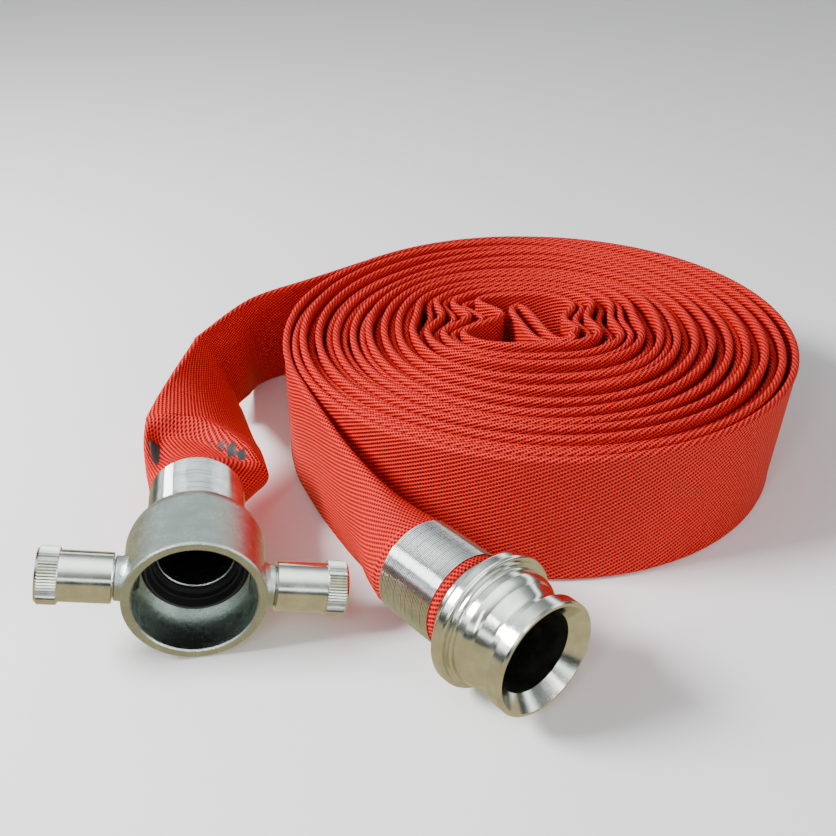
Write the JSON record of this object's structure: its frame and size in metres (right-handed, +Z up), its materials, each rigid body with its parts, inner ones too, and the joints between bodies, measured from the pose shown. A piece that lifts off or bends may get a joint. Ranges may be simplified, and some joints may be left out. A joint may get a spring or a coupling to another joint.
{
  "type": "rolled fire hose",
  "caption": "Rolled layflat fire hose: a red woven hose doubled and wound into a flat roll, with a metal lugged socket coupling and a metal plug coupling on its two free ends.",
  "frame": {"origin": "on the floor, on the roll's axis", "axes": "+Z up along the roll's axis; +X to the right and +Y to the back, seen with the male coupling in front and the female coupling at the left"},
  "size_m": [0.5759, 0.5946, 0.106],
  "materials": {
    "red_jacket": "coarse woven polyester jacket, orange-red with darker gaps between the yarns",
    "black_rubber": "matt black rubber",
    "cast_aluminium": "grainy satin casting with a machined face",
    "polished_aluminium": "turned and polished",
    "machined_aluminium": "turned, satin",
    "turned_aluminium": "turned, satin",
    "spring_steel": "bright drawn wire",
    "binding_wire": "bright galvanised wire, close wound"
  },
  "bodies": {
    "hose": {"hose_roll": "red_jacket", "hose_end_female": "red_jacket", "hose_end_male": "red_jacket", "hose_lining_female": "black_rubber", "hose_lining_male": "black_rubber", "female_body": "cast_aluminium", "female_seal": "black_rubber", "female_binding_wire": "binding_wire", "male_body": "polished_aluminium", "male_binding_wire": "binding_wire", "left_lug_housing": "machined_aluminium", "left_lock_spring": "spring_steel", "right_lug_housing": "machined_aluminium", "right_lock_spring": "spring_steel"},
    "left_lock": {"left_lock_plunger": "turned_aluminium", "left_pull_knob": "polished_aluminium", "left_knob_screw": "spring_steel"},
    "right_lock": {"right_lock_plunger": "turned_aluminium", "right_pull_knob": "polished_aluminium", "right_knob_screw": "spring_steel"}
  },
  "joints": [
    {"name": "left_lock_slide", "type": "slide", "parent": "hose", "child": "left_lock", "axis": [-0.9684, -0.1499, 0.1994], "range_m": [0, 0.007], "stiffness_N_per_m": 1600, "springref_m": -0.01, "deforming": ["left_lock_spring"]},
    {"name": "right_lock_slide", "type": "slide", "parent": "hose", "child": "right_lock", "axis": [0.9684, 0.1499, -0.1994], "range_m": [0, 0.007], "stiffness_N_per_m": 1600, "springref_m": -0.01, "deforming": ["right_lock_spring"]}
  ]
}
